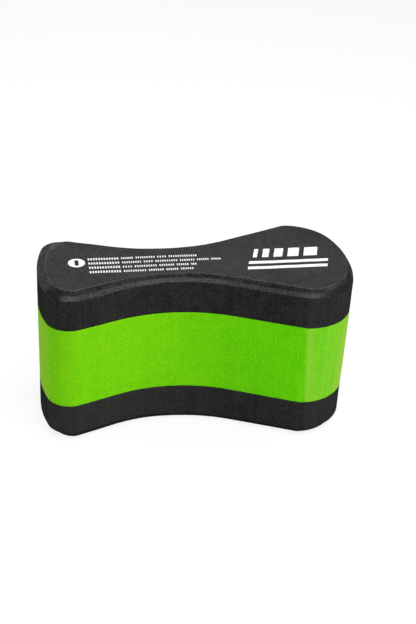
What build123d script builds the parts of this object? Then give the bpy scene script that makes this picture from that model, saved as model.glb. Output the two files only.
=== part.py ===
from build123d import *

import os
from math import acos, degrees, sqrt

# Pull buoy: a foam float that a swimmer holds between the thighs.
#
# Three slabs of closed-cell EVA foam are glued into one block with an hourglass outline. The two
# black outer slabs carry a moulded rim round a slightly raised panel, the green core lies between
# them, and plain white marks are printed on the upper panel.
#
# Frame: millimetres, X along the float from the narrow tail to the wide head, Y across it, Z up.
# The origin is the centre of the underside.

# Driving dimensions.
length = 220.0
head_width = 100.0
tail_width = 77.5
waist_width = 42.0
height = 120.0
outer_slab_height = 29.0

# Outline. Each radius is named after the stretch it rounds. The crease is where the straight
# flank meets the head's corner at a slight angle.
head_end_radius = 82.0
head_corner_radius = 33.5
tail_end_radius = 90.0
tail_corner_radius = 17.0
waist_radius = 108.0
waist_x = -19.8
crease_x = 69.0

# Moulded rim of the outer slabs: a sloping shelf, then a steep wall up to the raised panel.
shelf_width = 2.6
shelf_rise = 2.4
wall_width = 1.1
wall_rise = 3.3
lip_radius = 0.9

# Glue between the slabs, held back from their cut sides.
glue_thickness = 0.2
glue_setback = 0.4

# Printed ink on the upper panel.
ink_thickness = 0.1

# Roundel: a disc with a slot left clear in it.
roundel_centre = (-82.9, 1.7)
roundel_radius = 5.8
slot_length = 7.6
slot_width = 2.8

# Rules: rows of small ticks grouped into dashes, each row led by a heavier heading group.
rules_start_x = -75.0
rules_top_y = 6.1
rule_pitch = 5.9
rule_ends_x = (0.5, 16.5, -1.5, -4.5)
heading_length = 21.0
heading_tick = (1.05, 2.7)
dash_tick = (0.8, 2.4)
tick_gap = 0.7
dash_gap = 2.0
dash_lengths = (8.0, 13.0, 6.0, 15.0, 10.0)
shortest_dash = 3.0

# Emblem: a row of slanted blocks that widen towards the head, over a pair of stripes.
block_row_y = 5.8
block_row_start_x = 39.3
block_height = 11.8
narrowest_block = 2.9
block_growth = 1.7
block_count = 5
block_gap = 3.65
stripe_row_y = (-7.2, -14.6)
stripe_starts_x = (34.6, 32.4)
stripe_ends_x = (92.2, 90.0)
stripe_height = 3.6
slant = 0.3

core_bottom = outer_slab_height + glue_thickness
core_top = height - core_bottom
wall_foot = height - wall_rise
shelf_foot = wall_foot - shelf_rise


def corner_centre(side, end_radius, corner_radius, width):
    """Centre of a corner arc that touches its end arc from inside and peaks at half the width."""
    rise = width / 2 - corner_radius
    reach = sqrt((end_radius - corner_radius) ** 2 - rise**2)
    return Vector(side * (length / 2 - end_radius + reach), rise)


def flank_normal(centre, radius, side):
    """Outward normal of the straight flank that joins the arc at centre to the waist's hollow."""
    span = waist_centre - centre
    turn = degrees(acos((waist_radius + radius) / span.length))
    return span.normalized().rotate(Axis.Z, -side * turn)


waist_centre = Vector(waist_x, waist_width / 2 + waist_radius)
head_centre = corner_centre(1, head_end_radius, head_corner_radius, head_width)
tail_centre = corner_centre(-1, tail_end_radius, tail_corner_radius, tail_width)
head_end_centre = Vector(length / 2 - head_end_radius, 0)
tail_end_centre = Vector(tail_end_radius - length / 2, 0)

# Joints of the outline on the +Y side, from the tail's tip round to the head's tip.
tail_tip = Vector(-length / 2, 0)
tail_end = tail_end_centre + (tail_centre - tail_end_centre).normalized() * tail_end_radius
tail_normal = flank_normal(tail_centre, tail_corner_radius, -1)
tail_shoulder = tail_centre + tail_normal * tail_corner_radius
waist_start = waist_centre - tail_normal * waist_radius
crease_rise = sqrt(head_corner_radius**2 - (crease_x - head_centre.X) ** 2)
crease = Vector(crease_x, head_centre.Y + crease_rise)
waist_end = waist_centre - flank_normal(crease, 0, 1) * waist_radius
head_end = head_end_centre + (head_centre - head_end_centre).normalized() * head_end_radius
head_tip = Vector(length / 2, 0)

# Cut outline shared by all three slabs.
with BuildSketch() as outline:
    with BuildLine():
        RadiusArc(tail_tip, tail_end, tail_end_radius)
        RadiusArc(tail_end, tail_shoulder, tail_corner_radius)
        Line(tail_shoulder, waist_start)
        RadiusArc(waist_start, waist_end, -waist_radius)
        Line(waist_end, crease)
        RadiusArc(crease, head_end, head_corner_radius)
        RadiusArc(head_end, head_tip, head_end_radius)
        mirror(about=Plane.XZ)
    make_face()


def cut_outline(level, setback=0.0):
    """The cut outline at a height, drawn in evenly by the setback."""
    with BuildSketch(Plane.XY.offset(level)) as section:
        add(outline.sketch)
        if setback:
            offset(amount=-setback, kind=Kind.INTERSECTION, mode=Mode.REPLACE)
    return section.sketch


# Upper slab: straight cut sides, the sloping shelf, and the raised panel with its rounded lip.
with BuildPart() as upper_slab:
    add(cut_outline(height - outer_slab_height))
    extrude(amount=outer_slab_height - wall_rise - shelf_rise)
    add(cut_outline(shelf_foot))
    add(cut_outline(wall_foot, shelf_width))
    loft(ruled=True)
    add(cut_outline(wall_foot, shelf_width))
    add(cut_outline(height, shelf_width + wall_width))
    loft(ruled=True)
    panel = upper_slab.faces().sort_by(Axis.Z)[-1]
    fillet(panel.edges(), radius=lip_radius)

# Lower slab: the same moulding turned over.
with BuildPart() as lower_slab:
    add(upper_slab.part)
    mirror(about=Plane.XY.offset(height / 2), mode=Mode.REPLACE)

# Core slab, cut to the same outline.
with BuildPart() as core_slab:
    add(cut_outline(core_bottom))
    extrude(amount=core_top - core_bottom)

# Glue films below and above the core.
with BuildPart() as lower_glue_film:
    add(cut_outline(outer_slab_height, glue_setback))
    extrude(amount=glue_thickness)

with BuildPart() as upper_glue_film:
    add(cut_outline(core_top, glue_setback))
    extrude(amount=glue_thickness)

# Printed roundel near the tail.
with BuildPart() as printed_roundel:
    with BuildSketch(Plane.XY.offset(height)):
        with Locations(roundel_centre):
            Circle(roundel_radius)
            SlotOverall(slot_length, slot_width, rotation=90, mode=Mode.SUBTRACT)
    extrude(amount=ink_thickness)


def dash_spans(row, end_x):
    """Start and length of each dash that follows the heading of a row."""
    spans = []
    start = rules_start_x + heading_length + dash_gap
    while start < end_x:
        dash = dash_lengths[(row + len(spans)) % len(dash_lengths)]
        if end_x - start < dash + dash_gap + shortest_dash:
            dash = end_x - start
        spans.append((start, dash))
        start += dash + dash_gap
    return spans


def ticks(start, span, row_y, size):
    """Evenly spaced upright ticks that fill a span of a row, each of the given width and height."""
    width, tall = size
    count = round((span + tick_gap) / (width + tick_gap))
    pitch = (span - width) / max(1, count - 1)
    for place in range(count):
        with Locations((start + place * pitch, row_y)):
            Rectangle(width, tall, align=(Align.MIN, Align.CENTER))


# Printed rules along the waist.
with BuildPart() as printed_rules:
    with BuildSketch(Plane.XY.offset(height)):
        for row, end_x in enumerate(rule_ends_x):
            row_y = rules_top_y - row * rule_pitch
            ticks(rules_start_x, heading_length, row_y, heading_tick)
            for start, dash in dash_spans(row, end_x):
                ticks(start, dash, row_y, dash_tick)
    extrude(amount=ink_thickness)


def slanted_bar(start_x, end_x, centre_y, tall):
    """A bar whose ends lean towards the head, from start_x at its foot."""
    lean = slant * tall
    foot = centre_y - tall / 2
    crown = centre_y + tall / 2
    Polygon((start_x, foot), (end_x - lean, foot), (end_x, crown), (start_x + lean, crown), align=None)


# Printed emblem on the head.
with BuildPart() as printed_emblem:
    with BuildSketch(Plane.XY.offset(height)):
        start_x = block_row_start_x
        for place in range(block_count):
            width = narrowest_block + place * block_growth
            end_x = start_x + width + slant * block_height
            slanted_bar(start_x, end_x, block_row_y, block_height)
            start_x += width + block_gap
        for row_y, start_x, end_x in zip(stripe_row_y, stripe_starts_x, stripe_ends_x):
            slanted_bar(start_x, end_x, row_y, stripe_height)
    extrude(amount=ink_thickness)

pieces = {
    "lower_slab": lower_slab,
    "lower_glue_film": lower_glue_film,
    "core_slab": core_slab,
    "upper_glue_film": upper_glue_film,
    "upper_slab": upper_slab,
    "printed_roundel": printed_roundel,
    "printed_rules": printed_rules,
    "printed_emblem": printed_emblem,
}

os.makedirs("parts", exist_ok=True)
for name, piece in pieces.items():
    piece.part.label = name
    export_step(piece.part, f"parts/{name}.step")
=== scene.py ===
"""Looks of the pull buoy: sculpted foam slabs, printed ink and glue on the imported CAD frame."""

import cmath
import math

import bmesh
import bpy
import numpy as np
from mathutils import Matrix, Vector, noise
from mathutils.bvhtree import BVHTree


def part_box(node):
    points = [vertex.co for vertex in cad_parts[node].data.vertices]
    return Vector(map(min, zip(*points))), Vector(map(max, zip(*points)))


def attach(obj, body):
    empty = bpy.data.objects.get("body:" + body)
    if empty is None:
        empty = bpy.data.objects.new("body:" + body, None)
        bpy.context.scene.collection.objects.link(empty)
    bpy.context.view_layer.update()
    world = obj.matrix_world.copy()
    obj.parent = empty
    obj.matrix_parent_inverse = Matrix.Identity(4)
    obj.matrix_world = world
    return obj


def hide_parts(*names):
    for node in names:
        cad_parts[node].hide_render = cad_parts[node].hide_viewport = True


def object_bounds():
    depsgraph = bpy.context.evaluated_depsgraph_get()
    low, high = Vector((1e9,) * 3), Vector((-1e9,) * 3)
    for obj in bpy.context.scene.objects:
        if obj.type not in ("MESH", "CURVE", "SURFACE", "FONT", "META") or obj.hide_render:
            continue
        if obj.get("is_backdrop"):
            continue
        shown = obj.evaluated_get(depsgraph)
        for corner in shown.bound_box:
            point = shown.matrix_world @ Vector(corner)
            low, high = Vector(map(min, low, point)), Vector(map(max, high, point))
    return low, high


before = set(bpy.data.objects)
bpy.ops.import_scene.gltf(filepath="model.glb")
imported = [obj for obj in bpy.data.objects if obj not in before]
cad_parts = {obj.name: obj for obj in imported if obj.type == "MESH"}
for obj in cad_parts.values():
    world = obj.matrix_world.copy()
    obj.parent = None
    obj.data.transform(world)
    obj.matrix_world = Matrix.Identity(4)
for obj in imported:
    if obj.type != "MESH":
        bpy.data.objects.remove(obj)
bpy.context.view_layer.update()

mm = 0.001

# Sizes read from the frame.
slab_low, slab_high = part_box("upper_slab")
core_low, core_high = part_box("core_slab")
lower_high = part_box("lower_slab")[1]
length = slab_high.x - slab_low.x
head_width = slab_high.y - slab_low.y
top_z = slab_high.z

# Outline of the cut foam.
tail_width = 77.5 * mm
waist_width = 42.0 * mm
waist_x = -19.8 * mm
waist_radius = 108.0 * mm
crease_x = 69.0 * mm
head_end_radius = 82.0 * mm
head_corner_radius = 33.5 * mm
tail_end_radius = 90.0 * mm
tail_corner_radius = 17.0 * mm

# Moulded rim of the outer slabs.
shelf_width = 2.6 * mm
shelf_rise = 2.4 * mm
wall_width = 1.1 * mm
wall_rise = 3.3 * mm
panel_margin = 8.5 * mm
seam_radius = 0.50 * mm
shelf_edge_radius = 1.1 * mm
cove_radius = 1.8 * mm
lip_radius = 0.8 * mm

# Round the head's end the upper slab's rim is one soft slope with a rounded foot.
soft_width = 5.4 * mm
soft_rise = 7.0 * mm
soft_bend = (2.7 * mm, 2.6 * mm)
soft_foot_radius = 3.2 * mm
soft_bend_radius = 4.0 * mm
soft_lip_radius = 2.0 * mm
soft_from_x = 73 * mm
soft_to_x = 93 * mm

# The rim narrows along the waist's back and widens round the tail's end. The upper slab's is worn
# at the tail's back corner, where it is wider still and its edge stands higher.
narrowest = complex(-5 * mm, 20 * mm)
narrowest_reach = 40 * mm
back_narrowing = 0.25
wide_from_x = -84 * mm
wide_to_x = -104 * mm
tail_widening = 0.42
worn_corner = complex(-98 * mm, 30 * mm)
worn_reach = 25 * mm
worn_widening = 0.40
worn_lift = 0.68

# Places along the float where the shelf's outer edge lies deeper (+) or higher (-) than the mould.
shelf_waves = ((-75 * mm, 18 * mm, 0.18), (-8 * mm, 25 * mm, -0.13), (74 * mm, 10 * mm, -0.10))

# Waves of the foam's surface: the size and the height of each.
foam_waves = ((45 * mm, 0.25 * mm), (11 * mm, 0.10 * mm), (3.5 * mm, 0.04 * mm))
wave_offset = (3.7, 1.3)

# The painted sheen past the crease, streaked like the knife's marks, leans towards the tail by this
# much per unit of height.
crease_sheen_x = 70.7 * mm
crease_sheen_lean = 0.067

# Painted light on the cut sides, which pales them, grows from the first place to the second. Each
# pair holds its share at the head and at the tail.
painted_light_from_x = 65 * mm
painted_light_to_x = -65 * mm
upper_painted_light = (0.0, 0.05)
core_painted_light = (0.0, 0.25)
lower_painted_light = (0.15, 0.52)

# Wear with a painted highlight on the moulded skin along the lip and the shelf's outer edge. The
# tail's end adds its own to both edges, and the head's end adds a share of that. It fades over the
# steps beside each edge. Each span is where a change starts and where it is complete.
lip_wear_and_highlight = 0.4
tail_lip_wear_and_highlight = 1.0
shelf_edge_wear_and_highlight = 0.25
tail_shelf_edge_wear_and_highlight = 0.6
head_wear_and_highlight_share = 0.25
tail_wear_and_highlight_span = (-70 * mm, -100 * mm)
head_wear_and_highlight_span = (80 * mm, 100 * mm)
wear_and_highlight_fade = ((-2, 0.3), (-1, 0.8), (0, 1.0), (1, 0.8), (2, 0.3))

# The rub over the whole rim, and stronger on its edges, at the back of the tail's end.
rim_rub = 0.75
edge_rub = 1.2
rub_span_x = (-82 * mm, -100 * mm)
rub_span_y = (-30 * mm, -12 * mm)

# Painted shade on the shelf: everywhere, on the flanks before the crease, and round the head.
even_shelf_shade = 0.06
flank_shelf_shade = 0.34
head_shelf_shade = 0.5
flank_shade_rises = (-20 * mm, 50 * mm)
flank_shade_falls = (56 * mm, 66 * mm)
head_shade_rises = (72 * mm, 84 * mm)

# Spots of grime, with painted shade in a dent at the third, and of pale scuffs: x, y and reach.
grime_and_dent_shade_spots = (
    (-101 * mm, -35 * mm, 3.5 * mm),
    (-104 * mm, -28 * mm, 4.0 * mm),
    (54.7 * mm, 32.3 * mm, 1.2 * mm),
)
scuff_spots = (
    (-93 * mm, -40 * mm, 4.0 * mm),
    (-98 * mm, 27 * mm, 4.5 * mm),
    (68 * mm, -50 * mm, 3.0 * mm),
)

# The lower slab's rim is this much wider than the mould.
lower_spread = 0.15

# Printed ink: the cells it is cut into, and how far it stands above and sinks below the skin.
ink_cell = 1.5 * mm
ink_above = 0.07 * mm
ink_below = 0.03 * mm
ray_start = 5 * mm
same_point = 0.001 * mm
on_plane = 0.0001 * mm

# Mesh density.
outline_step = 1.0 * mm
panel_rings = 36
seam_rings = 4
arc_steps = 6
side_steps = 22
seam_margin = 1.5 * mm
ease_span = 5

# The spine that the flat faces' rings shrink to.
spine_scale = 0.64
spine_offset = -4.5 * mm


def corner_centre(side, end_radius, corner_radius, width):
    """Centre of a corner arc that touches its end arc from inside and peaks at half the width."""
    rise = width / 2 - corner_radius
    reach = math.sqrt((end_radius - corner_radius) ** 2 - rise**2)
    return complex(side * (length / 2 - end_radius + reach), rise)


def flank_normal(centre, radius, side):
    """Outward normal of the straight flank that joins the arc at centre to the waist's hollow."""
    span = waist_centre - centre
    turn = math.acos((waist_radius + radius) / abs(span))
    return span / abs(span) * cmath.exp(-1j * side * turn)


waist_centre = complex(waist_x, waist_width / 2 + waist_radius)


def arc(centre, radius, start, end, hollow=False):
    """Points and outward normals along an arc, its last point left out."""
    first, last = cmath.phase(start - centre), cmath.phase(end - centre)
    sweep = (last - first + math.pi) % (2 * math.pi) - math.pi
    count = max(2, round(abs(sweep) * radius / outline_step))
    ray = np.exp(1j * (first + sweep * np.arange(count) / count))
    return centre + radius * ray, -ray if hollow else ray


def straight(start, end):
    """Points and outward normals along a straight flank, its last point left out."""
    count = max(2, round(abs(end - start) / outline_step))
    points = start + (end - start) * np.arange(count) / count
    return points, np.full(count, -1j * (end - start) / abs(end - start))


def cut_outline():
    """The closed outline, anticlockwise from the head's tip: points and mitred outward normals."""
    head_centre = corner_centre(1, head_end_radius, head_corner_radius, head_width)
    tail_centre = corner_centre(-1, tail_end_radius, tail_corner_radius, tail_width)
    head_end_centre = complex(length / 2 - head_end_radius, 0)
    tail_end_centre = complex(tail_end_radius - length / 2, 0)
    head_tip, tail_tip = complex(length / 2, 0), complex(-length / 2, 0)
    head_ray = head_centre - head_end_centre
    head_end = head_end_centre + head_ray / abs(head_ray) * head_end_radius
    tail_ray = tail_centre - tail_end_centre
    tail_end = tail_end_centre + tail_ray / abs(tail_ray) * tail_end_radius
    tail_normal = flank_normal(tail_centre, tail_corner_radius, -1)
    tail_shoulder = tail_centre + tail_normal * tail_corner_radius
    waist_start = waist_centre - tail_normal * waist_radius
    crease_rise = math.sqrt(head_corner_radius**2 - (crease_x - head_centre.real) ** 2)
    crease = complex(crease_x, head_centre.imag + crease_rise)
    waist_end = waist_centre - flank_normal(crease, 0, 1) * waist_radius
    stretches = [
        arc(head_end_centre, head_end_radius, head_tip, head_end),
        arc(head_centre, head_corner_radius, head_end, crease),
        straight(crease, waist_end),
        arc(waist_centre, waist_radius, waist_end, waist_start, hollow=True),
        straight(waist_start, tail_shoulder),
        arc(tail_centre, tail_corner_radius, tail_shoulder, tail_end),
        arc(tail_end_centre, tail_end_radius, tail_end, tail_tip),
    ]
    points = np.concatenate([p for p, n in stretches] + [[tail_tip]])
    normals = np.concatenate([n for p, n in stretches] + [[-1.0]])
    at_crease = sum(len(p) for p, n in stretches[:2])
    before = (crease - head_centre) / head_corner_radius
    after = normals[at_crease]
    normals[at_crease] = (before + after) / (1 + (before * after.conjugate()).real)
    back = slice(-2, 0, -1)
    points = np.concatenate([points, points[back].conj()])
    normals = np.concatenate([normals, normals[back].conj()])
    return points, normals


def rounded(corners, straight_steps):
    """A polyline of (setback, height, radius) corners with each corner rounded into arc_steps,
    and each straight between them cut into its number of steps."""
    corners = [(complex(a, b), r) for a, b, r in corners]
    path = [corners[0][0]]

    def straight_to(end, steps):
        start = path[-1]
        path.extend(start + (end - start) * (k + 1) / steps for k in range(steps))

    for k, steps in enumerate(straight_steps[:-1]):
        (before, _), (corner, radius), (after, _) = corners[k : k + 3]
        u, v = before - corner, after - corner
        u, v = u / abs(u), v / abs(v)
        half = math.acos((u * v.conjugate()).real) / 2
        centre = corner + (u + v) / abs(u + v) * radius / math.sin(half)
        first, last = corner + u * radius / math.tan(half), corner + v * radius / math.tan(half)
        straight_to(first, steps)
        start = cmath.phase(first - centre)
        sweep = (cmath.phase(last - centre) - start + math.pi) % (2 * math.pi) - math.pi
        turns = [start + sweep * (k + 1) / arc_steps for k in range(arc_steps)]
        path.extend(centre + radius * cmath.exp(1j * turn) for turn in turns)
    straight_to(corners[-1][0], straight_steps[-1])
    return np.array(path)


def smooth(values, start, end):
    """0 before start, 1 beyond end, smooth between them."""
    t = np.clip((values - start) / (end - start), 0.0, 1.0)
    return t * t * (3 - 2 * t)


def blob(points, centre, reach):
    """1 at the centre, fading smoothly to almost 0 at twice the reach."""
    return np.exp(-((np.abs(points - centre) / reach) ** 2))


def slab_mesh(name, profile, low_z, flip, materials, slot_of):
    """A closed slab: rings of the outline drawn in and raised along the profile, capped by rings
    that shrink to the spine. The profile holds a setback and a height, as one complex number, per
    step and outline point. With flip it runs downwards. The deeper a ring is drawn in, the more it
    follows eased normals, so that rings don't fold over at the crease."""
    points, normals = cut_outline()
    count = len(points)
    eased = sum(np.roll(normals, k) for k in range(-ease_span, ease_span + 1)) / (2 * ease_span + 1)
    spine = (spine_offset + spine_scale * points.real) + 0j
    rings = []

    def drawn_in(setback):
        share = np.clip(setback / panel_margin, 0.0, 1.0)
        return points - (normals + (eased - normals) * share) * setback

    foot, crown = profile[0], profile[-1]
    edge = drawn_in(foot.real)
    for k in range(seam_rings):
        share = (seam_rings - k) / (seam_rings + 1)
        rings.append((edge + (spine - edge) * share, foot.imag))
    for step in profile:
        rings.append((drawn_in(step.real), step.imag))
    edge = drawn_in(crown.real)
    for k in range(1, panel_rings):
        rings.append((edge + (spine - edge) * k / panel_rings, crown.imag))
    side = -1 if flip else 1
    coordinates = []
    for ring, heights in rings:
        coordinates += [(p.real, p.imag, low_z + side * z) for p, z in zip(ring, heights)]
    half = count // 2
    bottom_spine = len(coordinates)
    coordinates += [(p.real, 0.0, low_z + side * foot[0].imag) for p in spine[: half + 1]]
    top_spine = len(coordinates)
    coordinates += [(p.real, 0.0, low_z + side * crown[0].imag) for p in spine[: half + 1]]
    around = np.arange(count)
    on_spine = np.minimum(around, count - around)
    rows = [bottom_spine + on_spine]
    rows += [k * count + around for k in range(len(rings))]
    rows.append(top_spine + on_spine)
    faces = []
    slots = []
    for k, (lower, upper) in enumerate(zip(rows, rows[1:])):
        quads = np.stack([lower, np.roll(lower, -1), np.roll(upper, -1), upper], axis=1)
        faces += (quads[:, ::-1] if flip else quads).tolist()
        slots += [slot_of(k - seam_rings - 1)] * count
    mesh = bpy.data.meshes.new(name)
    mesh.from_pydata(coordinates, [], faces)
    for material in materials:
        mesh.materials.append(material)
    mesh.polygons.foreach_set("material_index", slots)
    mesh.polygons.foreach_set("use_smooth", [True] * len(faces))
    mesh.update()
    piece = bpy.data.objects.new(name, mesh)
    bpy.context.scene.collection.objects.link(piece)
    return piece


# ---- Materials ---------------------------------------------------------------------------


class Nodes:
    """A node-based material and short calls that add nodes to it."""

    def __init__(self, name):
        self.material = bpy.data.materials.new(name)
        self.material.use_nodes = True
        self.tree = self.material.node_tree
        self.shader = self.tree.nodes["Principled BSDF"]
        self.place = self.add("ShaderNodeTexCoord").outputs["Object"]

    def add(self, kind, **settings):
        node = self.tree.nodes.new(kind)
        for key, value in settings.items():
            setattr(node, key, value)
        return node

    def put(self, socket, value):
        """Links an output into a socket, or sets the socket's value."""
        if isinstance(value, bpy.types.NodeSocket):
            self.tree.links.new(value, socket)
        elif isinstance(value, tuple) and len(value) == 3 and socket.type == "RGBA":
            socket.default_value = (*value, 1.0)
        else:
            socket.default_value = value

    def shape(self, **inputs):
        for key, value in inputs.items():
            self.put(self.shader.inputs[key.replace("_", " ")], value)

    def noise(self, size, detail=3.0, rough=0.55, stretch=(1.0, 1.0, 1.0)):
        """Noise from 0 to 1 with features of the given size in metres, longer along stretch."""
        scaled = self.add("ShaderNodeVectorMath", operation="DIVIDE")
        self.put(scaled.inputs[0], self.place)
        self.put(scaled.inputs[1], stretch)
        texture = self.add("ShaderNodeTexNoise")
        self.put(texture.inputs["Vector"], scaled.outputs[0])
        self.put(texture.inputs["Scale"], 1.0 / size)
        self.put(texture.inputs["Detail"], detail)
        self.put(texture.inputs["Roughness"], rough)
        return texture.outputs["Fac"]

    def cells(self, size):
        """Distance to the nearest cell centre, 0 to about 1, for cells of the given size."""
        texture = self.add("ShaderNodeTexVoronoi")
        self.put(texture.inputs["Vector"], self.place)
        self.put(texture.inputs["Scale"], 1.0 / size)
        return texture.outputs["Distance"]

    def math(self, operation, a, b=0.0, c=0.0, clamp=False):
        node = self.add("ShaderNodeMath", operation=operation, use_clamp=clamp)
        for socket, value in zip(node.inputs, (a, b, c)):
            self.put(socket, value)
        return node.outputs[0]

    def ramp(self, value, low, high, start=0.0, end=1.0):
        """Maps low..high smoothly onto start..end, held beyond the ends."""
        node = self.add("ShaderNodeMapRange", interpolation_type="SMOOTHSTEP")
        for socket, number in zip(node.inputs, (value, low, high, start, end)):
            self.put(socket, number)
        return node.outputs[0]

    def mix(self, share, a, b):
        """Colour a turning into colour b."""
        node = self.add("ShaderNodeMix", data_type="RGBA")
        self.put(node.inputs["Factor"], share)
        self.put(node.inputs[6], a)
        self.put(node.inputs[7], b)
        return node.outputs[2]

    def mark(self, name):
        """A number painted on the mesh's points."""
        return self.add("ShaderNodeAttribute", attribute_name=name).outputs["Fac"]

    def grazing(self):
        """0 where the surface faces the viewer, rising to 1 where it turns away."""
        return self.add("ShaderNodeLayerWeight").outputs["Facing"]

    def bump(self, height, depth, before=None):
        """A bump of the given depth in metres over a height from 0 to 1."""
        node = self.add("ShaderNodeBump")
        self.put(node.inputs["Height"], height)
        self.put(node.inputs["Distance"], depth)
        if before is not None:
            self.put(node.inputs["Normal"], before)
        return node.outputs[0]


def cut_foam(name, dark, light, sheen_and_streak_colour, painted_light_colour, crease_sheen_and_streaks, grazing_sheen, specular):
    """Knife-cut closed-cell foam: open cells and vertical blade streaks, with painted sheen in
    streaked bands past the crease, painted light that pales it towards the tail, and painted sheen
    that pales the surface where it turns away."""
    n = Nodes(name)
    grain = n.noise(1.2 * mm, detail=2.0, rough=0.6)
    blotch = n.noise(9 * mm, detail=3.0)
    streak = n.noise(3.0 * mm, detail=2.0, stretch=(1.0, 1.0, 40.0))
    shade = n.math("MULTIPLY_ADD", grain, 0.6, n.math("MULTIPLY", blotch, 0.25))
    shade = n.math("MULTIPLY_ADD", streak, 0.15, shade)
    colour = n.mix(n.ramp(shade, 0.40, 0.60), dark, light)
    # Painted sheen past the crease in streaked bands, with a pale stripe of painted sheen just
    # beyond it.
    beyond = n.mark("beyond_crease")
    past = n.ramp(beyond, -0.6 * mm, 1.2 * mm)
    band = n.ramp(streak, 0.35, 0.65, 0.4, 1.0)
    from_stripe = n.math("ABSOLUTE", n.math("SUBTRACT", beyond, 1.9 * mm))
    sheen_stripe = n.ramp(from_stripe, 2.2 * mm, 0.6 * mm, 0.0, 0.35)
    crease = n.math("MULTIPLY", n.math("ADD", n.math("MULTIPLY", past, band), sheen_stripe), crease_sheen_and_streaks)
    # Painted sheen: the colour pales where the surface turns away from the lens.
    grazing = n.grazing()
    painted_grazing_sheen = n.math("MULTIPLY", n.ramp(grazing, 0.35, 0.95), grazing_sheen)
    # Painted light, paler towards the tail and speckled by the grain.
    speckled = n.ramp(grain, 0.35, 0.65, 0.6, 1.0)
    colour = n.mix(n.math("MULTIPLY", n.mark("painted_light"), speckled), colour, painted_light_colour)
    colour = n.mix(n.math("ADD", crease, painted_grazing_sheen, clamp=True), colour, sheen_and_streak_colour)
    cells = n.cells(1.3 * mm)
    relief = n.bump(streak, 0.25 * mm)
    relief = n.bump(cells, 0.30 * mm, relief)
    n.shape(Base_Color=colour, Roughness=0.55, Normal=relief)
    n.shape(Specular_IOR_Level=n.ramp(grazing, 0.25, 0.8, specular, 0.0))
    return n.material


def moulded_skin():
    """The closed, slightly leathery skin of the moulded faces, scuffed along its edges, with
    painted highlights on the lip and the shelf's edge and painted shade along the shelf.
    """
    n = Nodes("moulded_black_skin")
    grain = n.noise(1.2 * mm, detail=2.0, rough=0.6)
    mottle = n.noise(6 * mm, detail=3.0, rough=0.6)
    blotch = n.noise(22 * mm, detail=3.0, rough=0.6)
    shade = n.math("MULTIPLY_ADD", grain, 0.6, n.math("MULTIPLY", blotch, 0.25))
    shade = n.math("MULTIPLY_ADD", mottle, 0.15, shade)
    colour = n.mix(n.ramp(shade, 0.42, 0.58), (0.0015, 0.0015, 0.0017), (0.0270, 0.0270, 0.0272))
    patchy = n.ramp(mottle, 0.40, 0.60, 0.3, 1.0)
    # The wear mark is real wear with a painted highlight along the lip and the shelf's edge.
    wear = n.math("MULTIPLY", n.mark("wear"), patchy)
    colour = n.mix(n.math("MULTIPLY", wear, 0.7), colour, (0.075, 0.075, 0.074))
    scuff = n.math("MULTIPLY", n.mark("scuff"), patchy)
    colour = n.mix(n.math("MULTIPLY", scuff, 0.6), colour, (0.085, 0.083, 0.070))
    # The grime mark is real grime with painted shade along the shelf and in a dent. It darkens the
    # colour and lowers the specular.
    grime_and_shade = n.mark("grime_and_shade")
    colour = n.mix(n.math("MULTIPLY", grime_and_shade, 0.8), colour, (0.004, 0.004, 0.004))
    relief = n.bump(mottle, 0.15 * mm)
    relief = n.bump(n.cells(1.5 * mm), 0.26 * mm, relief)
    n.shape(Base_Color=colour, Roughness=n.ramp(blotch, 0.3, 0.7, 0.40, 0.52))
    n.shape(Specular_IOR_Level=n.ramp(grime_and_shade, 0.0, 1.0, 0.30, 0.12), Normal=relief)
    return n.material


def screen_ink():
    """White screen ink, thin enough that the skin's grain shows as pinholes."""
    n = Nodes("white_ink")
    grain = n.noise(0.5 * mm, detail=3.0, rough=0.7)
    pinholes = n.ramp(grain, 0.60, 0.70)
    colour = n.mix(n.noise(4 * mm), (0.80, 0.80, 0.80), (0.88, 0.88, 0.88))
    colour = n.mix(n.math("MULTIPLY", pinholes, 0.6), colour, (0.2, 0.2, 0.2))
    n.shape(Base_Color=colour, Roughness=0.6, Specular_IOR_Level=0.4)
    n.shape(Normal=n.bump(grain, 0.03 * mm))
    return n.material


def contact_glue():
    """The dark adhesive that shows as a hairline between the slabs."""
    n = Nodes("contact_glue")
    colour = n.mix(n.noise(2 * mm), (0.006, 0.006, 0.008), (0.016, 0.014, 0.016))
    n.shape(Base_Color=colour, Roughness=n.ramp(n.noise(5 * mm), 0.3, 0.7, 0.45, 0.7))
    n.shape(Normal=n.bump(n.noise(0.8 * mm), 0.05 * mm))
    return n.material


# Besides its own dark and light, each cut foam gets a colour for painted sheen, one for painted
# light, and the strengths of painted sheen past the crease and where the surface turns away.
black_cut = cut_foam(
    "cut_black_foam",
    dark=(0.0040, 0.0040, 0.0042),
    light=(0.0205, 0.0205, 0.0208),
    sheen_and_streak_colour=(0.030, 0.030, 0.0305),
    painted_light_colour=(0.034, 0.033, 0.032),
    crease_sheen_and_streaks=0.30,
    grazing_sheen=0.7,
    specular=0.25,
)
green_cut = cut_foam(
    "cut_green_foam",
    dark=(0.092, 0.585, 0.0004),
    light=(0.150, 0.635, 0.0016),
    sheen_and_streak_colour=(0.42, 0.59, 0.075),
    painted_light_colour=(0.42, 0.68, 0.010),
    crease_sheen_and_streaks=0.32,
    grazing_sheen=0.5,
    specular=0.03,
)
black_skin = moulded_skin()
white_ink = screen_ink()
glue = contact_glue()

# ---- Pieces ------------------------------------------------------------------------------


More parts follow.
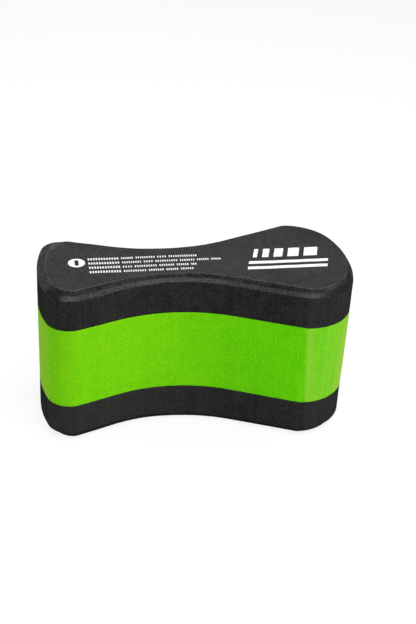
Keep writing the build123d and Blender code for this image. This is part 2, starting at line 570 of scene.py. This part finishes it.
def undulate(piece, waves):
    """Moves each point along its normal by sums of smooth noise, given as (size, height)."""
    mesh = piece.data
    count = len(mesh.vertices)
    places = np.empty(count * 3)
    mesh.vertices.foreach_get("co", places)
    places = places.reshape(-1, 3)
    directions = np.empty(count * 3, np.float32)
    mesh.vertex_normals.foreach_get("vector", directions)
    directions = directions.reshape(-1, 3)
    heights = np.zeros(count)
    for size, height in waves:
        offset = Vector((size * 1000, *wave_offset))
        heights += [height * noise.noise(Vector(p) / size + offset) for p in places]
    places += directions * heights[:, None]
    mesh.vertices.foreach_set("co", places.ravel())
    mesh.update()


def paint(piece, name, values):
    """Stores a number per point for the materials to read."""
    attribute = piece.data.attributes.new(name, "FLOAT", "POINT")
    attribute.data.foreach_set("value", values)


slab_height = slab_high.z - slab_low.z
shelf_edge_z = slab_height - wall_rise - shelf_rise

# Steps of each straight stretch of the rim: seam face, cut side, shelf, wall and panel.
rim_steps = (2, side_steps, 4, 3, 3)

stepped_rim = rounded(
    [
        (seam_margin, 0.0, 0.0),
        (0.0, 0.0, seam_radius),
        (0.0, shelf_edge_z, shelf_edge_radius),
        (shelf_width, slab_height - wall_rise, cove_radius),
        (shelf_width + wall_width, slab_height, lip_radius),
        (panel_margin, slab_height, 0.0),
    ],
    rim_steps,
)
soft_rim = rounded(
    [
        (seam_margin, 0.0, 0.0),
        (0.0, 0.0, seam_radius),
        (0.0, slab_height - soft_rise, soft_foot_radius),
        (soft_bend[0], slab_height - soft_bend[1], soft_bend_radius),
        (soft_width, slab_height, soft_lip_radius),
        (panel_margin + soft_lip_radius, slab_height, 0.0),
    ],
    rim_steps,
)
skin_from_step = rim_steps[0] + arc_steps + rim_steps[1] + arc_steps // 2
lip_step = len(stepped_rim) - 1 - rim_steps[-1] - arc_steps // 2
core_height = core_high.z - core_low.z
core_rim = rounded(
    [
        (seam_margin, 0.0, 0.0),
        (0.0, 0.0, seam_radius),
        (0.0, core_height, seam_radius),
        (seam_margin, core_height, 0.0),
    ],
    (2, 2 * side_steps, 2),
)


def outer_profile(worn, spread):
    """The outer slab's rim at every outline point: worn round the head and at the tail's back
    corner by the given share, and wider than the mould by the given share."""
    points, _ = cut_outline()
    soft = smooth(points.real, soft_from_x, soft_to_x) * worn
    profile = stepped_rim[:, None] * (1 - soft) + soft_rim[:, None] * soft
    wear = blob(points, worn_corner, worn_reach) * worn
    tail = smooth(points.real, wide_from_x, wide_to_x)
    widening = spread + tail_widening * tail + worn_widening * wear
    widening -= back_narrowing * blob(points, narrowest, narrowest_reach)
    waves = sum(share * blob(points.real, x, reach) for x, reach, share in shelf_waves)
    lift = worn_lift * wear - waves
    drop = slab_height - profile.imag
    side_share = np.clip(profile.imag / shelf_edge_z, 0.0, 1.0)
    drop -= lift * np.minimum(drop, slab_height - shelf_edge_z) * side_share
    return profile.real * (1 + widening) + 1j * (slab_height - drop)


def outer_slot(step):
    """Cut foam on the wall and the seam face, moulded skin on the rim and the panel."""
    return 1 if step >= skin_from_step else 0


def core_slot(step):
    """Cut foam all over."""
    return 0


def outer_slab(name, node, low_z, flip, worn, spread, painted_light):
    """One black slab in place of its CAD node, shaped, painted and set on the body."""
    profile = outer_profile(worn, spread)
    piece = slab_mesh(name, profile, low_z, flip, [black_cut, black_skin], outer_slot)
    # The sheen past the crease and the light that pales the cut side towards the tail are painted.
    paint_side(piece, painted_light)
    # Wear with a painted highlight along the lip and the shelf's edge.
    paint(piece, "wear", edge_wear_and_highlight(piece))
    # Grime with painted shade along the shelf and in a dent.
    paint(piece, "grime_and_shade", spots(piece, grime_and_dent_shade_spots) + painted_shelf_shade(piece))
    paint(piece, "scuff", spots(piece, scuff_spots))
    undulate(piece, foam_waves)
    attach(piece, "root")
    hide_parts(node)
    return piece


def paint_side(piece, painted_light):
    """How far each point lies beyond the start of the painted sheen at the crease, which leans
    towards the tail as it rises, and painted light that thins from the tail to the head."""
    places = np.empty(len(piece.data.vertices) * 3)
    piece.data.vertices.foreach_get("co", places)
    along = places[0::3]
    sheen_start_x = crease_sheen_x - crease_sheen_lean * (places[2::3] - top_z / 2)
    paint(piece, "beyond_crease", along - sheen_start_x)
    at_head, at_tail = painted_light
    share = smooth(along, painted_light_from_x, painted_light_to_x)
    paint(piece, "painted_light", at_head + (at_tail - at_head) * share)


def edge_wear_and_highlight(piece):
    """Wear with a painted highlight along the lip and the shelf's outer edge, most round the tail's
    end, and a rub over the whole rim at the back of that end."""
    points, _ = cut_outline()
    count = len(points)
    ends = smooth(points.real, *tail_wear_and_highlight_span)
    ends += head_wear_and_highlight_share * smooth(points.real, *head_wear_and_highlight_span)
    rub = smooth(points.real, *rub_span_x) * smooth(points.imag, *rub_span_y)
    wear = np.zeros(len(piece.data.vertices))
    first = seam_rings + skin_from_step
    rings = lip_step - skin_from_step
    wear[first * count : (first + rings) * count] = np.tile(rim_rub * rub, rings)
    edges = (
        (lip_step, lip_wear_and_highlight + tail_lip_wear_and_highlight * ends),
        (skin_from_step, shelf_edge_wear_and_highlight + tail_shelf_edge_wear_and_highlight * ends),
    )
    for step, amount in edges:
        for offset, fade in wear_and_highlight_fade:
            start = (seam_rings + step + offset) * count
            wear[start : start + count] = np.maximum(amount * fade, edge_rub * rub)
    return wear


def painted_shelf_shade(piece):
    """Painted shade along the shelf, most on the flanks before the crease and round the head."""
    points, _ = cut_outline()
    count = len(points)
    flank = smooth(points.real, *flank_shade_rises)
    flank *= 1 - smooth(points.real, *flank_shade_falls)
    head = smooth(points.real, *head_shade_rises)
    grime_and_shade = np.zeros(len(piece.data.vertices))
    start = (seam_rings + skin_from_step + 1) * count
    rings = lip_step - skin_from_step - arc_steps
    shelf_shade_amount = even_shelf_shade + flank_shelf_shade * flank + head_shelf_shade * head
    grime_and_shade[start : start + rings * count] = np.tile(shelf_shade_amount, rings)
    return grime_and_shade


def spots(piece, marks):
    """Soft spots at (x, y, reach) places, for dirt and scuffs."""
    places = np.empty(len(piece.data.vertices) * 3)
    piece.data.vertices.foreach_get("co", places)
    places = places[0::3] + 1j * places[1::3]
    return sum(blob(places, complex(x, y), reach) for x, y, reach in marks)


upper = outer_slab("upper_foam_slab", "upper_slab", slab_low.z, False, 1.0, 0.0, upper_painted_light)
outer_slab("lower_foam_slab", "lower_slab", lower_high.z, True, 0.0, lower_spread, lower_painted_light)
core_profile = np.tile(core_rim[:, None], len(cut_outline()[0]))
core = slab_mesh("core_foam_slab", core_profile, core_low.z, False, [green_cut], core_slot)
# Painted sheen past the crease and painted light towards the tail on the green side.
paint_side(core, core_painted_light)
undulate(core, foam_waves)
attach(core, "root")
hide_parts("core_slab")

for node in ("lower_glue_film", "upper_glue_film"):
    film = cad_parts[node]
    film.data.materials.clear()
    film.data.materials.append(glue)


def printed(node):
    """The CAD node's ink, cut into small cells and laid on the slab's skin."""
    ink = bmesh.new()
    ink.from_mesh(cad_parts[node].data)
    low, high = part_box(node)
    bmesh.ops.remove_doubles(ink, verts=ink.verts, dist=same_point)
    for axis, direction in ((0, (1, 0, 0)), (1, (0, 1, 0))):
        cuts = math.ceil((high[axis] - low[axis]) / ink_cell)
        for k in range(1, cuts):
            place = [0.0, 0.0, 0.0]
            place[axis] = low[axis] + (high[axis] - low[axis]) * k / cuts
            geometry = ink.verts[:] + ink.edges[:] + ink.faces[:]
            bmesh.ops.bisect_plane(
                ink, geom=geometry, dist=on_plane, plane_co=place, plane_no=direction
            )
    middle = (low.z + high.z) / 2
    for vertex in ink.verts:
        above = Vector((vertex.co.x, vertex.co.y, top_z + ray_start))
        hit = skin.ray_cast(above, Vector((0, 0, -1)))[0]
        vertex.co.z = hit.z + (ink_above if vertex.co.z > middle else -ink_below)
    bmesh.ops.remove_doubles(ink, verts=ink.verts, dist=same_point)
    mesh = bpy.data.meshes.new(node + "_ink")
    ink.to_mesh(mesh)
    ink.free()
    mesh.materials.clear()
    mesh.materials.append(white_ink)
    piece = bpy.data.objects.new(node + "_ink", mesh)
    bpy.context.scene.collection.objects.link(piece)
    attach(piece, "root")
    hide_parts(node)


skin = BVHTree.FromObject(upper, bpy.context.evaluated_depsgraph_get())
for node in ("printed_roundel", "printed_rules", "printed_emblem"):
    printed(node)

# ---- Stage, light and camera ---------------------------------------------------------------


# The floor glows towards the lens by this strength, and its own colour is muted there and in
# reflections by these shares.
floor_reach = 6.0
floor_glow = 0.84
muted_to_lens = 0.82
muted_in_reflections = 0.7
world_strength = 0.08


def pale_floor(level):
    """A white floor: the lens sees it evened out, while the object is lit by its plain bounce."""
    mesh = bpy.data.meshes.new("floor")
    turns = ((-1, -1), (1, -1), (1, 1), (-1, 1))
    corners = [(x * floor_reach, y * floor_reach, level) for x, y in turns]
    mesh.from_pydata(corners, [], [(0, 1, 2, 3)])
    floor = bpy.data.objects.new("floor", mesh)
    bpy.context.scene.collection.objects.link(floor)
    n = Nodes("pale_floor")
    colour = n.mix(n.noise(0.3), (0.86, 0.86, 0.86), (0.88, 0.88, 0.88))
    rays = n.add("ShaderNodeLightPath").outputs
    seen = rays["Is Camera Ray"]
    muted_seen = n.math("MULTIPLY", seen, muted_to_lens)
    muted_glossy = n.math("MULTIPLY", rays["Is Glossy Ray"], muted_in_reflections)
    muted = n.math("MAXIMUM", muted_seen, muted_glossy)
    n.shape(Base_Color=n.mix(muted, colour, (0.0, 0.0, 0.0)), Roughness=0.9)
    n.shape(Emission_Color=(1.0, 1.0, 1.0), Emission_Strength=n.math("MULTIPLY", seen, floor_glow))
    mesh.materials.append(n.material)
    floor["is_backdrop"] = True


def towards(azimuth, elevation):
    """Unit vector from the object, azimuth 0 towards -Y and 90 towards +X, in degrees."""
    a, e = math.radians(azimuth), math.radians(elevation)
    return Vector((math.sin(a) * math.cos(e), -math.cos(a) * math.cos(e), math.sin(e)))


middle = Vector((0.0, 0.0, top_z / 2))


def softbox(name, azimuth, elevation, distance, size, power):
    data = bpy.data.lights.new(name, "AREA")
    data.shape = "SQUARE"
    data.size = size
    data.energy = power
    light = bpy.data.objects.new(name, data)
    light.location = middle + towards(azimuth, elevation) * distance
    light.rotation_euler = (-towards(azimuth, elevation)).to_track_quat("-Z", "Y").to_euler()
    bpy.context.scene.collection.objects.link(light)


pale_floor(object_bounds()[0].z)
world = bpy.data.worlds.new("studio")
bpy.context.scene.world = world
world.use_nodes = True
backdrop = world.node_tree.nodes["Background"]
backdrop.inputs["Color"].default_value = (1.0, 1.0, 1.0, 1.0)
backdrop.inputs["Strength"].default_value = world_strength
softbox("overhead", 110, 62, 1.2, 0.45, 3.2)
softbox("high_back", 180, 50, 1.3, 0.9, 3.9)
softbox("high_front", 0, 60, 1.3, 0.9, 12.2)
softbox("high_right", 60, 60, 1.3, 0.8, 4.5)
softbox("side_left", -112, 22, 1.1, 0.7, 3.0)
softbox("low_right", 50, 14, 1.2, 0.5, 2.0)

camera_azimuth = -11.636
camera_elevation = 31.526
camera_roll = 3.446
camera_distance = 811.15 * mm
camera_target = Vector((9.89 * mm, 0.0, 76.89 * mm))
camera_lens = 65.685

camera = bpy.data.objects.new("camera", bpy.data.cameras.new("camera"))
camera.data.lens = camera_lens
camera.data.clip_start = 0.01
back = towards(camera_azimuth, camera_elevation)
camera.location = camera_target + back * camera_distance
level = (-back).to_track_quat("-Z", "Y").to_matrix().to_4x4()
roll = Matrix.Rotation(math.radians(camera_roll), 4, "Z")
camera.rotation_euler = (level @ roll).to_euler()
bpy.context.scene.collection.objects.link(camera)
bpy.context.scene.camera = camera
bpy.context.scene.view_settings.view_transform = "Standard"
